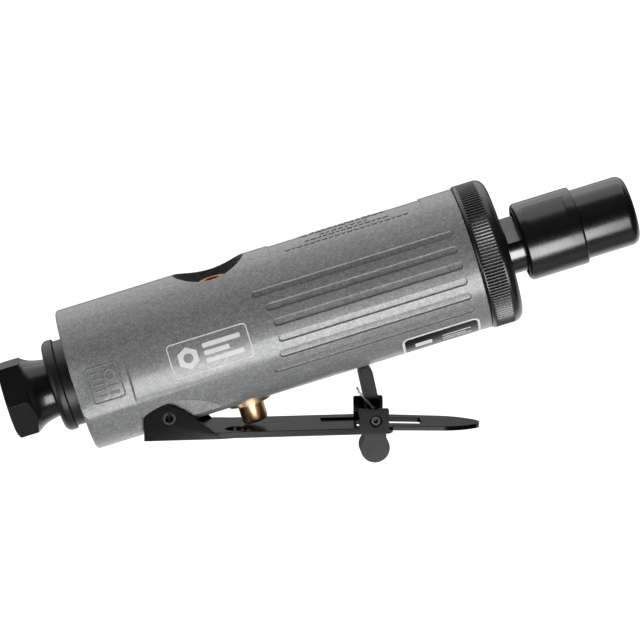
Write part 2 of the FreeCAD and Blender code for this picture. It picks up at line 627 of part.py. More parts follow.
lever.Tip = both
doc.recompute()
slot = outline(lever, [
    (49.8, -d.slot_half), (61.0, -d.slot_half), (61.0, d.slot_half), (49.8, d.slot_half)], lift=low - 1.0)
pocket(lever, slot, 8.0, reverse=True)
tray = outline(lever, [(40.6, -8.8), (57.2, -8.8), (57.2, 5.8), (40.6, 5.8)], lift=low + d.plate_thick - 0.55)
pocket(lever, tray, 2.0, reverse=True)
pocket(lever, rounds(lever, [(17.75, -5.7, 3.1)], lift=low - 1.0), 4.0, reverse=True)
pocket(lever, rounds(lever, [(0.0, 0.0, d.pin_radius + 0.08), (d.catch_x, d.catch_z, d.catch_pin_radius + 0.02)],
                     role="XZ_Plane", lift=-20.0), 40.0, reverse=True)
tilt = FreeCAD.Rotation(V(0, 1, 0), d.lever_slope.v)


def on_lever(x, y, z):
    p = tilt.multVec(V(x, y, z))
    return (d.pivot_x + p.x, p.y, d.pivot_z + p.z)


place(lever, (d.pivot_x, 0, d.pivot_z), tilt)
# The tongue past the tabs is bent a little further down; the slot runs into it.
tongue = doc.addObject("PartDesign::Body", uid("tongue"))
pad(tongue, outline(tongue, [
    (-0.25, -8.2), (12.2, -7.5, (17.9, -6.4)), (21.8, -4.0, (24.0, 0.0)), (21.8, 4.0, (17.9, 6.4)), (12.2, 7.5),
    (-0.25, 8.2)], lift=-d.tongue_thick), d.tongue_thick)
tip = d.slot_end - d.bend_x
pocket(tongue, outline(tongue, [
    (-1.0, -d.slot_half), (tip - 0.5, -d.slot_half), (tip, -d.slot_half + 0.5), (tip, d.slot_half - 0.5),
    (tip - 0.5, d.slot_half), (-1.0, d.slot_half)], lift=-3.0), 5.0, reverse=True)
place(tongue, on_lever(d.bend_x.v, 0, d.plate_low.v + d.plate_thick.v),
      FreeCAD.Rotation(V(0, 1, 0), d.lever_slope.v + d.tongue_bend.v))
cx, cy, cz = on_lever(d.catch_x.v, 0, d.catch_z.v)
node(cut(fuse(lever, tongue), cone(1.65, 1.24, 0.45, (cx, -10.05, cz), "y"),
         cone(1.24, 1.65, 0.45, (cx, 9.6, cz), "y")), "throttle_lever")

# ---------------------------------------------------------------- lock-off catch
turn = FreeCAD.Rotation(V(0, 1, 0), d.arm_lean.v)
catch = doc.addObject("PartDesign::Body", uid("catch"))
arm = outline(catch, [
    (-1.45, -1.0), (-1.45, 11.5, (0.4, 13.35)), (2.25, 11.5), (2.25, -1.0), (2.6, -4.2), (1.6, -8.6), (-4.5, -8.6), (-3.6, -4.4)],
    role="XZ_Plane", lift=-d.catch_half)
pad(catch, arm, d.catch_half * 2)
place(catch, (cx, 0, cz), turn)
off = turn.multVec(V(0, 0, 0))
paddle = cyl(d.paddle_radius, d.catch_half * 2, (cx - 2.1, -d.catch_half, cz - 8.4), "y")
boss = cyl(2.3, d.catch_half * 2, (cx, -d.catch_half, cz), "y")
node(cut(fuse(catch, boss, paddle), cyl(d.catch_pin_radius + 0.05, 12.0, (cx, -6.0, cz), "y")), "lock_off_catch")
catch_pin = cut(cyl(d.catch_pin_radius, 19.4, (cx, -9.7, cz), "y"),
                cyl(0.6, 1.3, (cx, -9.8, cz), "y"), cyl(0.6, 1.3, (cx, 8.5, cz), "y"))
node(catch_pin, "catch_pin")

# Torsion spring round the catch pin: one leg up the back of the arm, hooked
# over it, the other along the lever plate.
wire_r, mean, pitch, turns = 0.30, 1.56, 0.66, 3.905278
coil_path = Part.Wire(Part.makeHelix(pitch, pitch * turns, mean).Edges)
coil_wire = coil_path.makePipeShell([Part.Wire([Part.Circle(V(mean, 0, 0), V(0, 1, 0), wire_r).toShape()])], True, True)
coil_wire.rotate(V(0, 0, 0), V(1, 0, 0), 90)       # axis along Y, winding towards -Y
coil_wire.rotate(V(0, 0, 0), V(0, 1, 0), -40)      # first end ahead of the pin
coil_wire.translate(V(0, -3.7, 0))
start = V(mean * math.cos(math.radians(40)), -3.7, mean * math.sin(math.radians(40)))
knee = V(-1.85, -3.7, 7.35)
top = V(-2.0, -3.7, 8.5)
run = (knee - start).normalize()
leg_up = Part.makeCylinder(wire_r, (knee - start).Length + 0.2, start - run * 0.2, run)
leg_end = Part.makeCylinder(wire_r, (top - knee).Length, knee, (top - knee).normalize())
hook = Part.makeCylinder(wire_r, 1.6, top, V(0, 1, 0))
last = 40 - 360 * turns
end = V(mean * math.cos(math.radians(last)), -3.7 - pitch * turns, mean * math.sin(math.radians(last)))
along = V(math.cos(math.radians(-d.lever_slope.v)), 0, math.sin(math.radians(-d.lever_slope.v)))
leg_low = Part.makeCylinder(wire_r, 4.6, end, along)
coil_spring = coil_wire.fuse([leg_up, Part.makeSphere(wire_r, knee), leg_end, Part.makeSphere(wire_r, top), hook, Part.makeSphere(wire_r, start),
                              Part.makeSphere(wire_r, end), leg_low])
print("torsion spring", coil_wire.Volume, coil_spring.Volume, end)
spring_2 = doc.addObject("Part::Feature", "catch_spring_wire")
spring_2.Shape = coil_spring
spring_2.Placement = FreeCAD.Placement(V(cx.v, 0, cz.v), FreeCAD.Rotation())
node(spring_2, "catch_torsion_spring")

doc.recompute()
bad = [(o.Name, o.Label, o.getStatusString()) for o in doc.Objects if "Invalid" in o.State or "Error" in o.State]
assert not bad, "failed objects: %s" % bad
os.makedirs("parts", exist_ok=True)
for obj in NODES:
    shape = obj.Shape
    assert not shape.isNull() and shape.isValid(), "bad shape: " + obj.Label
    bb = shape.BoundBox
    print("%-28s solids %2d vol %9.2f  x %8.2f %8.2f  y %7.2f %7.2f  z %7.2f %7.2f" % (
        obj.Label, len(shape.Solids), shape.Volume, bb.XMin, bb.XMax, bb.YMin, bb.YMax, bb.ZMin, bb.ZMax))
    shape.exportStep("parts/%s.step" % obj.Label)
print("nodes", len(NODES))
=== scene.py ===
import bpy
import bmesh
import json
import math
from math import sin, cos, pi, radians, sqrt
from mathutils import Vector, Matrix

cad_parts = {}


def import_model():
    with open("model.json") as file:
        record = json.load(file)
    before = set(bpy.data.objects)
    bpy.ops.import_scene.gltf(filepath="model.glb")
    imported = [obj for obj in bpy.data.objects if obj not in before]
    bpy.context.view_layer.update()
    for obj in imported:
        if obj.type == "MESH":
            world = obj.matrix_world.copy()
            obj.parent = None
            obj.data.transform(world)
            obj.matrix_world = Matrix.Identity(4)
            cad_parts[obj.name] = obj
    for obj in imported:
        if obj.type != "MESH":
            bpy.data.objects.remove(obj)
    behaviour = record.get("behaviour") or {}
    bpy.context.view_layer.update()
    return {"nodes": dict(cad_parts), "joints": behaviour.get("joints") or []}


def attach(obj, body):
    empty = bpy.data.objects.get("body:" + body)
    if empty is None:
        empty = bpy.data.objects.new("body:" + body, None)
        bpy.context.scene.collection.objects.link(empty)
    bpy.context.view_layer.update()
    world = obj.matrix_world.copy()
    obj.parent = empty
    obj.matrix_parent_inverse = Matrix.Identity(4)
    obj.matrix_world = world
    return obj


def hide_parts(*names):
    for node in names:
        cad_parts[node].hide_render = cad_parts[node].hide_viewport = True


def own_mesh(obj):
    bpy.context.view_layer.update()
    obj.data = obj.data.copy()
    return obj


# Straight die grinder. Row frame: +X along the spindle to the nose, +Z up,
# lever on -Z. Helper sizes below are in millimetres, MM turns them to metres.
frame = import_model()
NODES = frame["nodes"]
MM = 0.001
scene = bpy.context.scene


# ------------------------------------------------------------------ node help
class Mat:
    """A small helper round a node tree with one Principled shader."""

    def __init__(self, name, color, metallic=0.0, roughness=0.5, **sockets):
        self.mat = bpy.data.materials.new(name)
        self.mat.use_nodes = True
        self.nt = self.mat.node_tree
        self.nt.nodes.clear()
        self.out = self.nt.nodes.new("ShaderNodeOutputMaterial")
        self.p = self.nt.nodes.new("ShaderNodeBsdfPrincipled")
        self.nt.links.new(self.p.outputs["BSDF"], self.out.inputs["Surface"])
        self.p.inputs["Base Color"].default_value = (*color, 1.0)
        self.p.inputs["Metallic"].default_value = metallic
        self.p.inputs["Roughness"].default_value = roughness
        for k, v in sockets.items():
            self.p.inputs[k.replace("_", " ")].default_value = v
        tc = self.nt.nodes.new("ShaderNodeTexCoord")
        self.co = tc.outputs["Object"]
        self.height = None

    def node(self, kind, **inputs):
        n = self.nt.nodes.new(kind)
        for k, v in inputs.items():
            k = k.replace("_", " ")
            if hasattr(v, "is_output") or isinstance(v, bpy.types.NodeSocket):
                self.nt.links.new(v, n.inputs[k])
            else:
                n.inputs[k].default_value = v
        return n

    def link(self, a, b):
        self.nt.links.new(a, b)

    def stretched(self, scale):
        m = self.nt.nodes.new("ShaderNodeMapping")
        m.inputs["Scale"].default_value = scale
        self.link(self.co, m.inputs["Vector"])
        return m.outputs["Vector"]

    def noise(self, scale, detail=2.0, rough=0.5, vec=None):
        n = self.nt.nodes.new("ShaderNodeTexNoise")
        n.inputs["Scale"].default_value = scale
        n.inputs["Detail"].default_value = detail
        n.inputs["Roughness"].default_value = rough
        self.link(vec or self.co, n.inputs["Vector"])
        return n.outputs["Fac"]

    def cells(self, scale, vec=None, out="Color"):
        n = self.nt.nodes.new("ShaderNodeTexVoronoi")
        n.inputs["Scale"].default_value = scale
        self.link(vec or self.co, n.inputs["Vector"])
        return n.outputs[out]

    def wave(self, scale, direction="X", rings=False, vec=None, distortion=0.0):
        n = self.nt.nodes.new("ShaderNodeTexWave")
        n.wave_type = "RINGS" if rings else "BANDS"
        if rings:
            n.rings_direction = direction
        else:
            n.bands_direction = direction
        n.inputs["Scale"].default_value = scale
        n.inputs["Distortion"].default_value = distortion
        self.link(vec or self.co, n.inputs["Vector"])
        return n.outputs["Fac"]

    def remap(self, value, a, b, lo=0.0, hi=1.0):
        n = self.nt.nodes.new("ShaderNodeMapRange")
        n.inputs["From Min"].default_value = lo
        n.inputs["From Max"].default_value = hi
        n.inputs["To Min"].default_value = a
        n.inputs["To Max"].default_value = b
        self.link(value, n.inputs["Value"])
        return n.outputs["Result"]

    def ramp(self, value, stops):
        n = self.nt.nodes.new("ShaderNodeValToRGB")
        e = n.color_ramp.elements
        while len(e) > 1:
            e.remove(e[-1])
        for i, (pos, col) in enumerate(stops):
            el = e[0] if i == 0 else e.new(pos)
            el.position = pos
            el.color = (*col, 1.0)
        self.link(value, n.inputs["Fac"])
        return n.outputs["Color"]

    def mix(self, fac, a, b, blend="MIX"):
        n = self.nt.nodes.new("ShaderNodeMix")
        n.data_type = "RGBA"
        n.blend_type = blend
        n.clamp_factor = True
        for sock, v in ((n.inputs[0], fac), (n.inputs[6], a), (n.inputs[7], b)):
            if isinstance(v, bpy.types.NodeSocket):
                self.link(v, sock)
            elif isinstance(v, tuple):
                sock.default_value = (*v, 1.0) if len(v) == 3 else v
            else:
                sock.default_value = v
        return n.outputs[2]

    def add(self, a, b, wa=1.0, wb=1.0):
        out = None
        for s, w in ((a, wa), (b, wb)):
            m = self.nt.nodes.new("ShaderNodeMath")
            m.operation = "MULTIPLY_ADD"
            self.link(s, m.inputs[0])
            m.inputs[1].default_value = w
            m.inputs[2].default_value = 0.0
            if out is not None:
                self.link(out, m.inputs[2])
            out = m.outputs[0]
        return out

    def color(self, sock):
        self.link(sock, self.p.inputs["Base Color"])

    def rough(self, sock):
        self.link(sock, self.p.inputs["Roughness"])

    def bump(self, sock, distance, strength=1.0, edge=None):
        """Micro relief; edge gives the radius of the softened corners."""
        b = self.nt.nodes.new("ShaderNodeBump")
        b.inputs["Distance"].default_value = distance
        b.inputs["Strength"].default_value = strength
        self.link(sock, b.inputs["Height"])
        if edge:
            v = self.nt.nodes.new("ShaderNodeBevel")
            v.samples = 4
            v.inputs["Radius"].default_value = edge
            self.link(v.outputs["Normal"], b.inputs["Normal"])
        self.link(b.outputs["Normal"], self.p.inputs["Normal"])


def grey(v, tint=(1.0, 1.0, 1.0)):
    return tuple(v * t for t in tint)


# ------------------------------------------------------------------ materials
def paint_body():
    # sprayed metallic coat: mica flakes under a satin film, slight orange peel
    m = Mat("body_grey_paint", grey(0.2), 0.18, 0.42, Specular_IOR_Level=0.42, Coat_Weight=0.32, Coat_Roughness=0.16)
    flake = m.cells(3600.0)
    sep = m.nt.nodes.new("ShaderNodeSeparateColor")
    m.link(flake, sep.inputs[0])
    soft = m.noise(900.0, 3.0, 0.6)
    broad = m.noise(38.0, 2.0, 0.5)
    mixed = m.add(m.add(sep.outputs[0], soft, 0.34, 0.5), broad, 1.0, 0.16)
    m.color(m.ramp(mixed, [(0.18, (0.150, 0.153, 0.153)), (0.50, (0.238, 0.243, 0.243)), (0.86, (0.40, 0.405, 0.405))]))
    m.rough(m.remap(m.noise(1400.0, 2.0), 0.34, 0.48))
    m.bump(m.add(m.noise(1500.0, 2.0, 0.5), sep.outputs[1], 0.7, 0.3), 0.000018, 0.75, edge=0.00032)
    return m.mat


def black_finish(name, level=0.012, rough=(0.2, 0.3), edge=0.00018, grain=2600.0, spec=0.7, peel=0.000006, brushed=None,
                 wear=0.0, metallic=0.0):
    # black oxide under oil: thin smoky film, faint mottling, rubbed corners
    m = Mat(name, grey(level), metallic, sum(rough) / 2, Specular_IOR_Level=spec)
    vec = m.stretched(brushed) if brushed else None
    fine = m.noise(grain, 3.0, 0.55, vec)
    broad = m.noise(120.0, 2.0, 0.5)
    mixed = m.add(fine, broad, 0.5, 0.5)
    m.color(m.ramp(mixed, [(0.25, grey(level * 0.6)), (0.75, grey(level * 1.6))]))
    m.rough(m.remap(m.add(fine, broad, 0.6, 0.4), rough[0], rough[1], 0.3, 0.7))
    m.bump(fine, peel, 1.0, edge=edge)
    return m.mat


def metal(name, lo, hi, rough=(0.2, 0.35), grain=3000.0, stretch=None, relief=0.000004, edge=0.00012, rings=None):
    m = Mat(name, lo, 1.0, sum(rough) / 2)
    vec = m.stretched(stretch) if stretch else None
    fine = m.noise(grain, 3.0, 0.6, vec)
    tone = m.noise(260.0, 2.0, 0.5)
    m.color(m.mix(m.add(fine, tone, 0.5, 0.5), lo, hi))
    m.rough(m.remap(fine, rough[0], rough[1], 0.3, 0.7))
    h = fine
    if rings:
        h = m.add(fine, m.wave(rings[0], rings[1]), 0.4, 0.6)
    m.bump(h, relief, 1.0, edge=edge)
    return m.mat


def printed(name, col, rough=0.5):
    # pad-printed ink: a little uneven, slightly chalky
    m = Mat(name, col, 0.0, rough, Specular_IOR_Level=0.35)
    n = m.add(m.noise(2400.0, 2.0), m.noise(300.0, 2.0), 0.6, 0.4)
    m.color(m.mix(m.remap(n, 0.0, 1.0, 0.3, 0.7), tuple(c * 0.9 for c in col), col))
    m.bump(m.noise(3000.0, 2.0), 0.000004)
    return m.mat


PAINT = paint_body()
BLACK = black_finish("black_oxide_gloss", 0.004, (0.19, 0.28), 0.0002, spec=0.6)
BLACK_NUT = black_finish("black_oxide_turned", 0.005, (0.2, 0.28), 0.0002, 1800.0, 0.8, 0.000004, (1.0, 0.16, 0.16))
BLACK_RING = black_finish("black_oxide_knurl", 0.006, (0.24, 0.34), None, 2200.0, 0.8)
BLACK_SATIN = black_finish("black_satin_deflector", 0.008, (0.34, 0.44), 0.0003, 1500.0, 0.5, 0.000008)
BLACK_PLATE = black_finish("black_lever_plate", 0.0025, (0.15, 0.2), 0.0003, 1900.0, 0.18, 0.000003)
BLACK_CATCH = black_finish("black_catch_satin", 0.014, (0.2, 0.28), 0.0003, 1700.0, 0.22, 0.000005)
SPINDLE = metal("spindle_dark_steel", grey(0.075), grey(0.12), (0.18, 0.24), 2400.0, (1.0, 0.2, 0.2))
PIN = metal("pin_oiled_steel", grey(0.022), grey(0.05), (0.3, 0.42), 2400.0)
COPPER = metal("copper_turned", (0.84, 0.46, 0.22), (0.98, 0.68, 0.42), (0.34, 0.44), 2600.0, (0.25, 0.25, 1.0),
               0.000004, 0.00016, (900.0, "Z"))
COPPER_DARK = metal("copper_regulator", (0.62, 0.20, 0.045), (0.86, 0.36, 0.11), (0.22, 0.34), 2600.0, (1.0, 1.0, 0.3),
                    0.000005, 0.00016)
BEARING = metal("bearing_ground_steel", grey(0.62), grey(0.78), (0.08, 0.16), 2600.0, (1.0, 0.1, 0.1), 0.000001)
BRASS = metal("cage_brass_machined", (0.62, 0.42, 0.16), (0.80, 0.60, 0.28), (0.2, 0.32), 2400.0)
IRON = metal("motor_iron_ground", grey(0.26), grey(0.42), (0.3, 0.42), 1800.0, (0.15, 1.0, 1.0), 0.000004)
WIRE = metal("spring_wire_drawn", grey(0.7), grey(0.88), (0.36, 0.46), 3200.0)
SCREEN = metal("screen_punched_steel", grey(0.45), grey(0.6), (0.3, 0.4), 2600.0)


def rubber():
    m = Mat("seal_rubber_matt", grey(0.014), 0.0, 0.62, Specular_IOR_Level=0.35)
    n = m.noise(2200.0, 4.0, 0.65)
    m.color(m.mix(n, grey(0.010), grey(0.024)))
    m.rough(m.remap(n, 0.52, 0.72))
    m.bump(n, 0.000012)
    return m.mat


def phenolic():
    m = Mat("vane_phenolic_cloth", (0.2, 0.1, 0.045), 0.0, 0.55)
    weave = m.add(m.wave(900.0, "X"), m.wave(900.0, "Z"), 0.5, 0.5)
    tone = m.add(weave, m.noise(700.0, 2.0), 0.6, 0.4)
    m.color(m.mix(tone, (0.16, 0.075, 0.03), (0.34, 0.18, 0.08)))
    m.rough(m.remap(weave, 0.45, 0.62))
    m.bump(weave, 0.000010)
    return m.mat


def felt():
    m = Mat("muffler_felt_pressed", (0.5, 0.49, 0.45), 0.0, 0.95, Sheen_Weight=0.3)
    n = m.add(m.noise(1600.0, 5.0, 0.7), m.noise(5200.0, 3.0, 0.7), 0.6, 0.4)
    m.color(m.mix(n, (0.36, 0.35, 0.31), (0.62, 0.61, 0.56)))
    m.bump(n, 0.00008)
    return m.mat


RUBBER, PHENOLIC, FELT = rubber(), phenolic(), felt()
INK_WHITE = printed("ink_white", (0.86, 0.87, 0.87), 0.45)
INK_BLACK = printed("ink_black", (0.012, 0.012, 0.013), 0.3)

FINISH = {
    "barrel_housing": PAINT, "front_clamp_ring": BLACK_RING, "spindle_dust_seal": RUBBER,
    "front_bearing_outer_ring": BEARING, "front_bearing_inner_ring": BEARING, "front_bearing_balls": BEARING,
    "front_bearing_cage": BRASS, "rear_bearing_outer_ring": BEARING, "rear_bearing_inner_ring": BEARING,
    "rear_bearing_balls": BEARING, "rear_bearing_cage": BRASS, "front_end_plate": IRON, "rear_end_plate": IRON,
    "motor_cylinder": IRON, "motor_dowel_pin": BEARING, "spindle_rotor": SPINDLE, "rotor_vanes": PHENOLIC,
    "rotor_spacer": IRON, "collet": SPINDLE, "collet_nut": BLACK_NUT, "throttle_bushing": COPPER,
    "throttle_bushing_o_ring": RUBBER, "throttle_button": COPPER, "throttle_button_o_ring": RUBBER,
    "throttle_valve_seal": RUBBER, "throttle_spring": WIRE, "air_regulator": COPPER_DARK, "regulator_o_ring": RUBBER,
    "regulator_retaining_ring": PIN, "inlet_bushing": BLACK, "inlet_screen": SCREEN, "inlet_seal_ring": RUBBER,
    "exhaust_deflector": BLACK_SATIN, "muffler_ring": FELT, "lever_pivot_pin": PIN, "throttle_lever": BLACK_PLATE,
    "lock_off_catch": BLACK_CATCH, "catch_pin": PIN, "catch_torsion_spring": WIRE,
}


def smooth(obj, angle=28.0, weld=True):
    """Rounds the shading of curved faces and keeps real corners crisp."""
    me = obj.data
    for a in ("custom_normal",):
        if a in me.attributes:
            me.attributes.remove(me.attributes[a])
    me.polygons.foreach_set("use_smooth", [True] * len(me.polygons))
    if weld:
        w = obj.modifiers.new("weld", "WELD")
        w.merge_threshold = 0.000002
    e = obj.modifiers.new("corners", "EDGE_SPLIT")
    e.split_angle = radians(angle)
    e.use_edge_sharp = False


for name, obj in NODES.items():
    obj.data.materials.clear()
    obj.data.materials.append(FINISH[name])
    smooth(obj)


# ------------------------------------------------------------------ mesh help
def make(name, verts, faces, mat, body, angle=35.0, metres=False):
    me = bpy.data.meshes.new(name)
    k = 1.0 if metres else MM
    me.from_pydata([tuple(c * k for c in v) for v in verts], [], faces)
    bm = bmesh.new()
    bm.from_mesh(me)
    bmesh.ops.recalc_face_normals(bm, faces=bm.faces)
    bm.to_mesh(me)
    bm.free()
    me.materials.append(mat)
    obj = bpy.data.objects.new(name, me)
    scene.collection.objects.link(obj)
    smooth(obj, angle, weld=False)
    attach(obj, body)
    return obj


def join(parts):
    verts, faces = [], []
    for v, f in parts:
        n = len(verts)
        verts += v
        faces += [tuple(i + n for i in q) for q in f]
    return verts, faces


def dense(pts, closed, step):
    """The path with points no further apart than step."""
    out = []
    n = len(pts)
    for i in range(n if closed else n - 1):
        a, b = pts[i], pts[(i + 1) % n]
        d = math.hypot(b[0] - a[0], b[1] - a[1])
        k = max(1, int(math.ceil(d / step)))
        out += [(a[0] + (b[0] - a[0]) * j / k, a[1] + (b[1] - a[1]) * j / k) for j in range(k)]
    if not closed:
        out.append(pts[-1])
    return out


def ribbon(pts, width, lift, sink, put, closed=False, edge=0.04, step=0.45, across=3):
    """A raised line laid on a surface: put(a, b, height) gives the point in space."""
    pts = dense(pts, closed, step)
    n = len(pts)
    run = [0.0]
    for i in range(1, n):
        run.append(run[-1] + math.hypot(pts[i][0] - pts[i - 1][0], pts[i][1] - pts[i - 1][1]))
    hw = width / 2
    prof = [(-1.0, -sink), (-1.0, lift - edge), (-1.0 + edge / hw, lift)]
    prof += [(-1.0 + edge / hw + (2 - 2 * edge / hw) * j / across, lift) for j in range(1, across)]
    prof += [(1.0 - edge / hw, lift), (1.0, lift - edge), (1.0, -sink)]
    verts, faces = [], []
    for i in range(n):
        if closed:
            a, b = pts[i - 1], pts[(i + 1) % n]
        else:
            a, b = pts[max(0, i - 1)], pts[min(n - 1, i + 1)]
        tx, ty = b[0] - a[0], b[1] - a[1]
        t = math.hypot(tx, ty) or 1.0
        nx, ny = -ty / t, tx / t
        # mitre at corners
        p, q = (pts[i - 1], pts[i]) if (closed or i > 0) else (pts[i], pts[i + 1])
        sx, sy = q[0] - p[0], q[1] - p[1]
        s = math.hypot(sx, sy) or 1.0
        m = max(0.5, abs(nx * (-sy / s) + ny * (sx / s)))
        k = hw / m
        for u, h in prof:
            verts.append(put(pts[i][0] + nx * k * u, pts[i][1] + ny * k * u, h))
    w = len(prof)
    for i in range(n if closed else n - 1):
        j = (i + 1) % n
        for c in range(w - 1):
            faces.append((i * w + c, i * w + c + 1, j * w + c + 1, j * w + c))
    if not closed:
        faces.append(tuple(range(w)))
        faces.append(tuple((n - 1) * w + c for c in reversed(range(w))))
    return verts, faces


def rounded_rect(cx, cy, w, h, r, k=6):
    out = []
    for (sx, sy, a0) in ((1, 1, 0), (-1, 1, 90), (-1, -1, 180), (1, -1, 270)):
        ox, oy = cx + sx * (w / 2 - r), cy + sy * (h / 2 - r)
        for i in range(k + 1):
            a = radians(a0 + 90 * i / k)
            out.append((ox + r * cos(a), oy + r * sin(a)))
    return out


def slab(outline, lift, sink, put, edge=0.04, rings=6):
    """A filled raised patch: rings of the outline shrink to its middle."""
    outline = dense(outline, True, 0.5)
    n = len(outline)
    cx = sum(p[0] for p in outline) / n
    cy = sum(p[1] for p in outline) / n
    far = max(math.hypot(p[0] - cx, p[1] - cy) for p in outline)
    verts, faces = [], []
    levels = [(1.0, -sink), (1.0, lift - edge), (1.0 - edge / far, lift)]
    levels += [((1.0 - edge / far) * (rings - j) / rings, lift) for j in range(1, rings)]
    for s, h in levels:
        for p in outline:
            verts.append(put(cx + (p[0] - cx) * s, cy + (p[1] - cy) * s, h))
    for l in range(len(levels) - 1):
        for i in range(n):
            j = (i + 1) % n
            faces.append((l * n + i, l * n + j, (l + 1) * n + j, (l + 1) * n + i))
    verts.append(put(cx, cy, lift))
    c = len(verts) - 1
    l = len(levels) - 1
    for i in range(n):
        faces.append((l * n + i, l * n + (i + 1) % n, c))
    return verts, faces


R = 19.05


def on_barrel(phi0=0.0, side=-1, radius=R):
    """Axial position and arc length, from phi0 degrees above the side."""
    def put(x, s, h):
        a = radians(phi0) + s / radius
        return (x, side * (radius + h) * cos(a), (radius + h) * sin(a))
    return put


def on_flat(side):
    def put(x, z, h):
        return (x, side * (17.54 + h), z)
    return put


def on_top(x, y, h):
    r = R - 0.3 + h
    return (x, y, sqrt(max(0.0, r * r - y * y)))


# ------------------------------------------------------------- printed marks
def side_box(side):
    put = on_barrel(0.0, side)
    cx, w, h = -117.35, 21.3, 9.1
    parts = [ribbon(rounded_rect(cx, 0, w, h, 1.0), 0.30, 0.03, 0.08, put, True, 0.01)]
    # plain air-tool device: a hexagon with a round bore, then three bars
    hexa = [(cx - 5.9 + 3.0 * cos(radians(60 * i + 30)), 3.0 * sin(radians(60 * i + 30))) for i in range(6)]
    bore = [(cx - 5.9 + 1.3 * cos(radians(15 * i)), 1.3 * sin(radians(15 * i))) for i in range(24)]
    ring_out, ring_in = dense(hexa, True, 0.6), None
    n = len(ring_out)
    verts, faces = [], []
    for i, p in enumerate(ring_out):
        a = math.atan2(p[1], p[0] - (cx - 5.9))
        q = (cx - 5.9 + 1.3 * cos(a), 1.3 * sin(a))
        for t in (0.0, 0.5, 1.0):
            verts.append(put(p[0] + (q[0] - p[0]) * t, p[1] + (q[1] - p[1]) * t, 0.03))
        verts.append(put(q[0], q[1], -0.08))
        verts.append(put(p[0], p[1], -0.08))
    for i in range(n):
        j = (i + 1) % n
        for a, b in ((0, 1), (1, 2), (2, 3), (4, 0)):
            faces.append((i * 5 + a, i * 5 + b, j * 5 + b, j * 5 + a))
    parts.append((verts, faces))
    for k, (a, b) in enumerate(((-1.6, 8.6), (-1.6, 5.2), (-1.6, 8.6))):
        y = (1 - k) * 2.05
        parts.append(slab(rounded_rect(cx + (a + b) / 2, y, b - a, 1.25, 0.3, 3), 0.03, 0.08, put, 0.01, 3))
    v, f = join(parts)
    return make("side_mark_%s" % ("near" if side < 0 else "far"), v, f, INK_WHITE, "housing")


side_box(-1)
side_box(1)


def badge():
    put = on_barrel(-59.65, -1)
    cx, w, h = -58.4, 20.6, 10.0
    v, f = slab(rounded_rect(cx, 0, w - 0.7, h - 0.7, 1.3), 0.025, 0.08, put, 0.01, 8)
    make("badge_field", v, f, INK_BLACK, "housing")
    parts = [ribbon(rounded_rect(cx, 0, w, h, 1.6), 0.62, 0.04, 0.08, put, True, 0.012)]
    parts.append(slab(rounded_rect(cx - 5.0, 0.4, 4.6, 2.4, 0.3, 3), 0.045, 0.0, put, 0.01, 3))
    parts.append(ribbon([(cx + 0.2, 1.6), (cx + 8.0, 1.6)], 0.45, 0.045, 0.0, put, False, 0.01))
    parts.append(ribbon([(cx + 0.2, 0.2), (cx + 6.4, 0.2)], 0.45, 0.045, 0.0, put, False, 0.01))
    parts.append(ribbon([(cx + 0.2, -1.2), (cx + 8.0, -1.2)], 0.45, 0.045, 0.0, put, False, 0.01))
    v, f = join(parts)
    make("badge_lines", v, f, INK_WHITE, "housing")


badge()


# ------------------------------------------------------------- embossed marks
def flat_mark(side):
    put = on_flat(side)
    cx, cz, w, h = -145.75, 0.0, 8.4, 9.4
    parts = [ribbon(rounded_rect(cx, cz, w, h, 0.9), 0.42, 0.18, 0.1, put, True, 0.09)]
    # plain tally of bars and a disc inside the frame
    for k in range(5):
        z = cz + 3.1 - k * 1.55
        x0, x1 = (cx - 3.0, cx - 0.2)
        parts.append(ribbon([(x0, z), (x1, z)], 0.55, 0.16, 0.1, put, False, 0.09, 0.4))
    ringp = [(cx + 1.75 + 1.35 * cos(radians(20 * i)), cz + 1.9 + 1.35 * sin(radians(20 * i))) for i in range(18)]
    parts.append(ribbon(ringp, 0.5, 0.16, 0.1, put, True, 0.09, 0.3))
    parts.append(ribbon([(cx + 0.4, cz - 1.1), (cx + 3.1, cz - 1.1)], 0.55, 0.16, 0.1, put, False, 0.09, 0.4))
    parts.append(ribbon([(cx + 0.4, cz - 3.1), (cx + 3.1, cz - 3.1)], 0.8, 0.16, 0.1, put, False, 0.09, 0.4))
    v, f = join(parts)
    return make("cast_mark_%s" % ("near" if side < 0 else "far"), v, f, PAINT, "housing")


flat_mark(-1)
flat_mark(1)


def top_rows():
    parts = []
    # rows of short cast dashes, no lettering
    rows = [(-6.6, -91.2, -56.3, 1.0, (1.5, 1.0, 1.6, 1.2)), (-4.8, -85.4, -61.1, 0.85, (1.2, 1.6, 1.0)),
            (-3.0, -81.2, -67.4, 0.85, (1.4, 1.0, 1.6)), (0.2, -86.0, -62.5, 1.5, (1.8, 1.3, 2.2)),
            (3.0, -83.5, -66.0, 0.85, (1.4, 1.0, 1.2)), (5.0, -87.0, -61.0, 0.95, (1.5, 1.0, 1.7))]
    for y, x0, x1, h, lens in rows:
        x, k = x0, 0
        while x + lens[k % len(lens)] <= x1:
            l = lens[k % len(lens)]
            parts.append(slab(rounded_rect(x + l / 2, y, l, h, 0.3, 3), 0.17, 0.1, on_top, 0.08, 2))
            x += l + 0.38
            k += 1
    v, f = join(parts)
    make("cast_rows_top", v, f, PAINT, "housing")


top_rows()


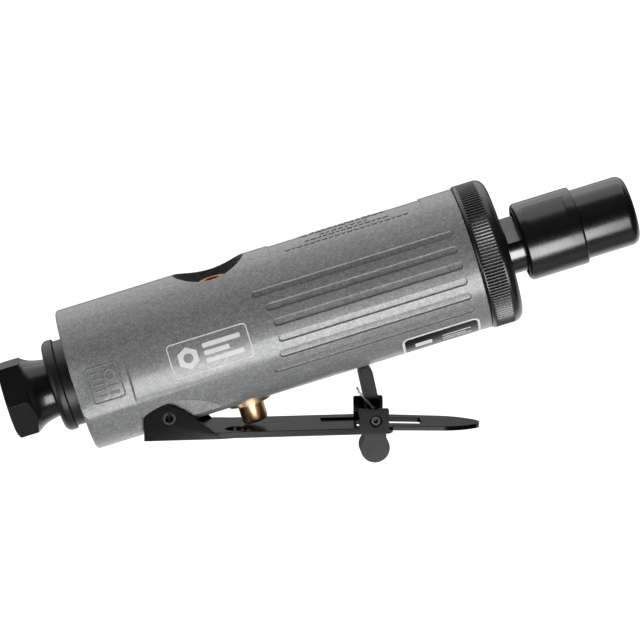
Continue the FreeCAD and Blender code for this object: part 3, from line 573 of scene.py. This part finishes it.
# --------------------------------------------------------- knurled clamp ring
def clamp_ring():
    teeth, per = 136, 8
    n = teeth * per
    ro, d = 19.5, 0.27
    prof = [(-35.7, 8.0, 0), (-35.7, 12.0, 0), (-35.7, 16.3, 0), (-35.75, 16.9, 0)]
    for i in range(1, 9):
        a = radians(90 * i / 8.0)
        prof.append((-38.3 + 2.6 * cos(a), 16.9 + 2.6 * sin(a), 0))
    prof += [(-38.32, ro, 0.2), (-38.45, ro, 0.55), (-38.6, ro, 0.85), (-38.8, ro, 1), (-41.3, ro, 1), (-43.1, ro, 1),
             (-43.3, ro, 0.8), (-43.5, ro, 0.25), (-43.65, ro, 0), (-43.9, ro - 0.02, 0), (-44.15, ro - 0.22, 0),
             (-44.45, ro - 0.6, 0), (-44.6, ro - 0.85, 0), (-44.6, 16.3, 0), (-52.5, 16.3, 0), (-52.5, 10.6, 0),
             (-47.0, 10.6, 0), (-47.0, 8.0, 0)]
    verts, faces = [], []
    for i in range(n):
        a = 2 * pi * i / n
        ph = (i % per) / per
        # round-topped ridge, narrow valley
        valley = (0.5 + 0.5 * cos(2 * pi * ph)) ** 1.6
        for x, r, w in prof:
            rr = r - d * w * valley
            verts.append((x, rr * cos(a), rr * sin(a)))
    m = len(prof)
    for i in range(n):
        j = (i + 1) % n
        for c in range(m):
            e = (c + 1) % m
            faces.append((i * m + c, i * m + e, j * m + e, j * m + c))
    o = make("front_clamp_ring_knurled", verts, faces, BLACK_RING, "housing", angle=50.0)
    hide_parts("front_clamp_ring")
    return o


clamp_ring()


# ------------------------------------------------------------------- springs
def tube(points, radius, sides=14, cap=True):
    """A round wire swept along points, with rounded ends."""
    pts = [Vector(p) for p in points]
    n = len(pts)
    tang = [((pts[min(i + 1, n - 1)] - pts[max(i - 1, 0)]).normalized()) for i in range(n)]
    ref = Vector((0, 1, 0)) if abs(tang[0].y) < 0.9 else Vector((1, 0, 0))
    u = (ref - tang[0] * ref.dot(tang[0])).normalized()
    rings = []
    for i in range(n):
        if i:
            u = (u - tang[i] * u.dot(tang[i])).normalized()
        rings.append((pts[i], u.copy(), tang[i].cross(u), radius))
    if cap:
        head = [(rings[0][0] - tang[0] * radius * sin(a), rings[0][1], rings[0][2], radius * cos(a)) for a in
                (radians(85), radians(60), radians(30))]
        tail = [(rings[-1][0] + tang[-1] * radius * sin(a), rings[-1][1], rings[-1][2], radius * cos(a)) for a in
                (radians(30), radians(60), radians(85))]
        rings = head + rings + tail
    verts, faces = [], []
    for p, a, b, r in rings:
        for k in range(sides):
            t = 2 * pi * k / sides
            verts.append(tuple(p + a * (r * cos(t)) + b * (r * sin(t))))
    for i in range(len(rings) - 1):
        for k in range(sides):
            j = (k + 1) % sides
            faces.append((i * sides + k, i * sides + j, (i + 1) * sides + j, (i + 1) * sides + k))
    faces.append(tuple(range(sides)))
    faces.append(tuple((len(rings) - 1) * sides + k for k in reversed(range(sides))))
    return verts, faces


def catch_spring():
    swing = [j for j in frame["joints"] if j["name"] == "lock_off_swing"][0]
    cx, cz = swing["pos_m"][0] / MM, swing["pos_m"][2] / MM
    mean, wire, pitch, turns, a0 = 1.56, 0.30, 0.66, 3.905278, 40.0

    def at(a, y):
        return (cx + mean * cos(radians(a)), y, cz + mean * sin(radians(a)))
    k = 150
    coil = [at(a0 - 360 * turns * i / k, -3.7 - pitch * turns * i / k) for i in range(k + 1)]
    end = Vector(coil[-1])
    along = Vector((cos(radians(-15.9)), 0, sin(radians(-15.9))))
    coil += [tuple(end + along * d) for d in (0.4, 1.1, 1.8, 2.6)]
    v, f = tube(coil, wire)
    o = make("catch_spring_coil", v, f, WIRE, "lever")
    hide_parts("catch_torsion_spring")
    start = Vector(at(a0, -3.7))
    knee = Vector((cx - 1.85, -3.7, cz + 7.35))
    top = Vector((cx - 2.0, -3.7, cz + 8.5))
    leg = [tuple(start + (knee - start) * t) for t in (0.0, 0.25, 0.5, 0.75, 0.94)]
    leg += [tuple(knee + (top - knee) * 0.12), tuple(knee + (top - knee) * 0.5)]
    run = top - knee
    for i in range(1, 7):
        a = radians(15 * i)
        back = top - run.normalized() * 0.36
        leg.append(tuple(back + run.normalized() * 0.36 * sin(a) + Vector((0, 0.36 * (1 - cos(a)), 0))))
    leg.append((top.x, top.y + 1.5, top.z))
    v, f = tube(leg, wire)
    p = make("catch_spring_leg", v, f, WIRE, "lock_off")
    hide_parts("catch_torsion_spring")


catch_spring()


def valve_spring():
    """Closing spring: a wire helix fixed to the housing."""
    x0, r, wire, pitch = -111.6, 2.15, 0.26, 1.35
    z0, z1 = -1.4, 6.5
    k = 190
    turns = (z1 - z0) / pitch
    pts = [(x0 + r * cos(2 * pi * turns * i / k), r * sin(2 * pi * turns * i / k), z0 + (z1 - z0) * i / k)
           for i in range(k + 1)]
    v, f = tube(pts, wire, 12)
    o = make("throttle_spring_wire", v, f, WIRE, "housing")
    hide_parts("throttle_spring")
    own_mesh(o)


valve_spring()


# --------------------------------------------------------------------- stage
def floor():
    s, z = 9.0, -0.16
    me = bpy.data.meshes.new("floor")
    me.from_pydata([(-s, -s, z), (s, -s, z), (s, s, z), (-s, s, z)], [], [(0, 1, 2, 3)])
    o = bpy.data.objects.new("floor", me)
    scene.collection.objects.link(o)
    mat = bpy.data.materials.new("floor_pale")
    mat.use_nodes = True
    nt = mat.node_tree
    nt.nodes.clear()
    out = nt.nodes.new("ShaderNodeOutputMaterial")
    em = nt.nodes.new("ShaderNodeEmission")
    em.inputs["Color"].default_value = (1.0, 1.0, 1.0, 1.0)
    em.inputs["Strength"].default_value = 0.94
    df = nt.nodes.new("ShaderNodeBsdfDiffuse")
    df.inputs["Color"].default_value = (0.5, 0.5, 0.5, 1.0)
    add = nt.nodes.new("ShaderNodeAddShader")
    tr = nt.nodes.new("ShaderNodeBsdfTransparent")
    geo = nt.nodes.new("ShaderNodeNewGeometry")
    mix = nt.nodes.new("ShaderNodeMixShader")
    nt.links.new(em.outputs[0], add.inputs[0])
    nt.links.new(df.outputs[0], add.inputs[1])
    nt.links.new(geo.outputs["Backfacing"], mix.inputs[0])
    nt.links.new(add.outputs[0], mix.inputs[1])
    nt.links.new(tr.outputs[0], mix.inputs[2])
    nt.links.new(mix.outputs[0], out.inputs["Surface"])
    me.materials.append(mat)
    o.visible_glossy = False
    o.visible_diffuse = False
    o.visible_shadow = False


floor()


def world():
    w = bpy.data.worlds.new("studio")
    scene.world = w
    w.use_nodes = True
    nt = w.node_tree
    nt.nodes.clear()
    out = nt.nodes.new("ShaderNodeOutputWorld")
    tc = nt.nodes.new("ShaderNodeTexCoord")
    sep = nt.nodes.new("ShaderNodeSeparateXYZ")
    nt.links.new(tc.outputs["Generated"], sep.inputs[0])

    def ease(sock, lo, hi, a, b):
        m = nt.nodes.new("ShaderNodeMapRange")
        m.interpolation_type = "SMOOTHSTEP"
        m.inputs["From Min"].default_value = lo
        m.inputs["From Max"].default_value = hi
        m.inputs["To Min"].default_value = a
        m.inputs["To Max"].default_value = b
        nt.links.new(sock, m.inputs["Value"])
        return m.outputs["Result"]
    back = ease(sep.outputs["Y"], 0.10, 0.75, 0.05, 1.25)
    top = ease(sep.outputs["Z"], 0.35, 1.0, 0.0, 0.03)
    size = nt.nodes.new("ShaderNodeMath")
    size.operation = "ABSOLUTE"
    nt.links.new(sep.outputs["Z"], size.inputs[0])
    low = ease(size.outputs[0], 0.12, 0.45, 0.12, 1.0)
    mul = nt.nodes.new("ShaderNodeMath")
    mul.operation = "MULTIPLY"
    nt.links.new(back, mul.inputs[0])
    nt.links.new(low, mul.inputs[1])
    ad = nt.nodes.new("ShaderNodeMath")
    ad.operation = "ADD"
    nt.links.new(mul.outputs[0], ad.inputs[0])
    nt.links.new(top, ad.inputs[1])
    bg = nt.nodes.new("ShaderNodeBackground")
    bg.inputs["Color"].default_value = (1, 1, 1, 1)
    nt.links.new(ad.outputs[0], bg.inputs["Strength"])
    seen = nt.nodes.new("ShaderNodeBackground")
    seen.inputs["Color"].default_value = (1, 1, 1, 1)
    seen.inputs["Strength"].default_value = 1.0
    lp = nt.nodes.new("ShaderNodeLightPath")
    mix = nt.nodes.new("ShaderNodeMixShader")
    nt.links.new(lp.outputs["Is Camera Ray"], mix.inputs[0])
    nt.links.new(bg.outputs[0], mix.inputs[1])
    nt.links.new(seen.outputs[0], mix.inputs[2])
    nt.links.new(mix.outputs[0], out.inputs["Surface"])


world()


def softbox(name, pos, target, size, power):
    l = bpy.data.lights.new(name, "AREA")
    l.shape = "RECTANGLE"
    l.size, l.size_y = size
    l.energy = power
    o = bpy.data.objects.new(name, l)
    scene.collection.objects.link(o)
    o.location = Vector(pos)
    d = (Vector(target) - Vector(pos)).normalized()
    x = Vector((1, 0, 0))
    x = (x - d * x.dot(d)).normalized()
    y = (-d).cross(x)
    o.matrix_world = Matrix.Translation(Vector(pos)) @ Matrix((x, y, -d)).transposed().to_4x4()
    o.visible_camera = False
    return o


el = radians(-32)
C = (-0.06, 0.0, 0.0)
softbox("front_card", (C[0], -0.8 * cos(el), 0.8 * sin(el)), C, (0.36, 0.45), 5.1)
softbox("top_wash", (-0.09, 0.16, 0.95), (-0.09, 0, 0), (1.7, 1.1), 6.3)
softbox("tail_side", (-0.92, -0.42, -0.05), (-0.12, 0, 0), (0.35, 0.4), 1.8)
softbox("under_fill", (-0.09, -0.12, -0.95), (-0.09, 0, 0), (1.0, 0.5), 0.5)

# -------------------------------------------------------------------- camera
K, F = 0.2646, 3000.0
D = F * K
a, e, roll = radians(1.1), radians(10.0), radians(17.0)
c = Vector((-sin(a) * cos(e), -cos(a) * cos(e), sin(e)))
r = Vector((cos(a), -sin(a), 0.0))
up = Vector((sin(a) * sin(e), cos(a) * sin(e), cos(e)))
T = Vector((-87.5, 0, 0)) - up * (14.7 * K)
pos = (T + c * D) * MM
X = r * cos(roll) - up * sin(roll)
Y = r * sin(roll) + up * cos(roll)
cam_data = bpy.data.cameras.new("camera")
cam_data.sensor_width = 36.0
cam_data.lens = F / 640.0 * 36.0
cam_data.clip_start, cam_data.clip_end = 0.05, 60.0
cam = bpy.data.objects.new("camera", cam_data)
scene.collection.objects.link(cam)
cam.matrix_world = Matrix.Translation(pos) @ Matrix((X, Y, c)).transposed().to_4x4()
scene.camera = cam

scene.view_settings.view_transform = "Standard"
scene.view_settings.look = "None"
